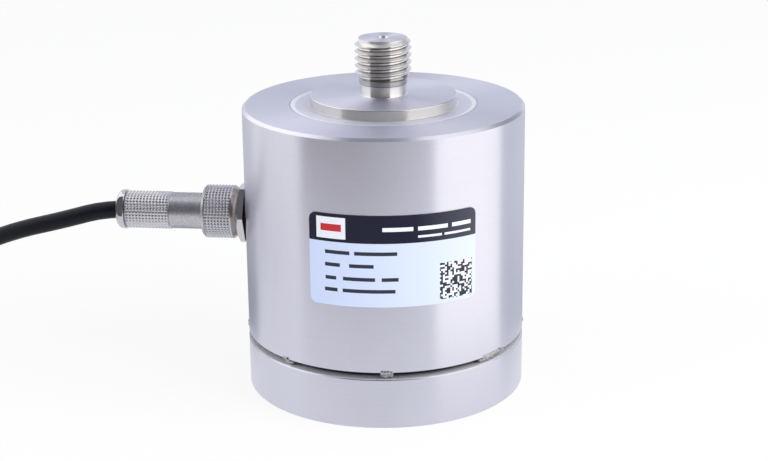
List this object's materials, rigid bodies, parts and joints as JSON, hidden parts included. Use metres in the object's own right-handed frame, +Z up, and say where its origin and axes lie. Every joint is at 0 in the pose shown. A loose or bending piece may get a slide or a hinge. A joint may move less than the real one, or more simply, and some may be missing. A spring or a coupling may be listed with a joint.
{
  "type": "column load cell",
  "caption": "Round steel column load cell: turned body with a threaded top stud, welded sleeve, side plug connector and a coiled signal cable.",
  "frame": {"origin": "centre of the base's underside, at the mouth of its threaded hole", "axes": "+Z up the load axis towards the stud, -X along the cable connector"},
  "size_m": [0.3536, 0.1129, 0.1265],
  "materials": {
    "body_steel": "turned stainless steel with fine turning lines",
    "weld_steel": "rough tack weld metal",
    "gauge_film": "amber backing film with a metal foil grid",
    "pad_film": "insulating fibre pad",
    "board_laminate": "green coated circuit board",
    "spool_body": "dark moulded resistor spool",
    "wire_red": "insulated wire",
    "wire_black": "insulated wire",
    "wire_green": "insulated wire",
    "wire_white": "insulated wire",
    "nickel_plate": "nickel plated brass, satin",
    "seal_rubber": "moulded seal",
    "insert_plastic": "moulded insulator",
    "contact_metal": "plated contact",
    "cable_jacket": "smooth dark cable jacket",
    "tie_plastic": "woven strap",
    "shrink_tube": "heat shrunk tube",
    "drain_copper": "tinned braid",
    "label_film": "printed film, pale with a dark band"
  },
  "bodies": {
    "root": {"load_column": "body_steel", "outer_sleeve": "body_steel", "top_diaphragm": "body_steel", "tack_welds": "weld_steel", "strain_gauge_1": "gauge_film", "strain_gauge_2": "gauge_film", "strain_gauge_3": "gauge_film", "strain_gauge_4": "gauge_film", "bridge_pad": "pad_film", "bridge_board": "board_laminate", "trim_resistor_1": "spool_body", "trim_resistor_2": "spool_body", "trim_resistor_3": "spool_body", "signal_wire_red": "wire_red", "signal_wire_black": "wire_black", "signal_wire_green": "wire_green", "signal_wire_white": "wire_white", "socket_shell": "nickel_plate", "socket_oring": "seal_rubber", "socket_insert": "insert_plastic", "socket_pins": "contact_metal", "coupling_ring": "nickel_plate", "plug_body": "nickel_plate", "plug_insert": "insert_plastic", "plug_contacts": "contact_metal", "plug_gasket": "seal_rubber", "plug_cores": "wire_white", "back_shell": "nickel_plate", "clamp_washer": "nickel_plate", "cable_grommet": "seal_rubber", "cable_nut": "nickel_plate", "cable_run": "cable_jacket", "cable_coil": "cable_jacket", "coil_tie_1": "tie_plastic", "coil_tie_2": "tie_plastic", "lead_sleeve": "shrink_tube", "core_red": "wire_red", "core_black": "wire_black", "core_green": "wire_green", "core_white": "wire_white", "core_drain": "drain_copper", "rating_label": "label_film"}
  },
  "joints": []
}
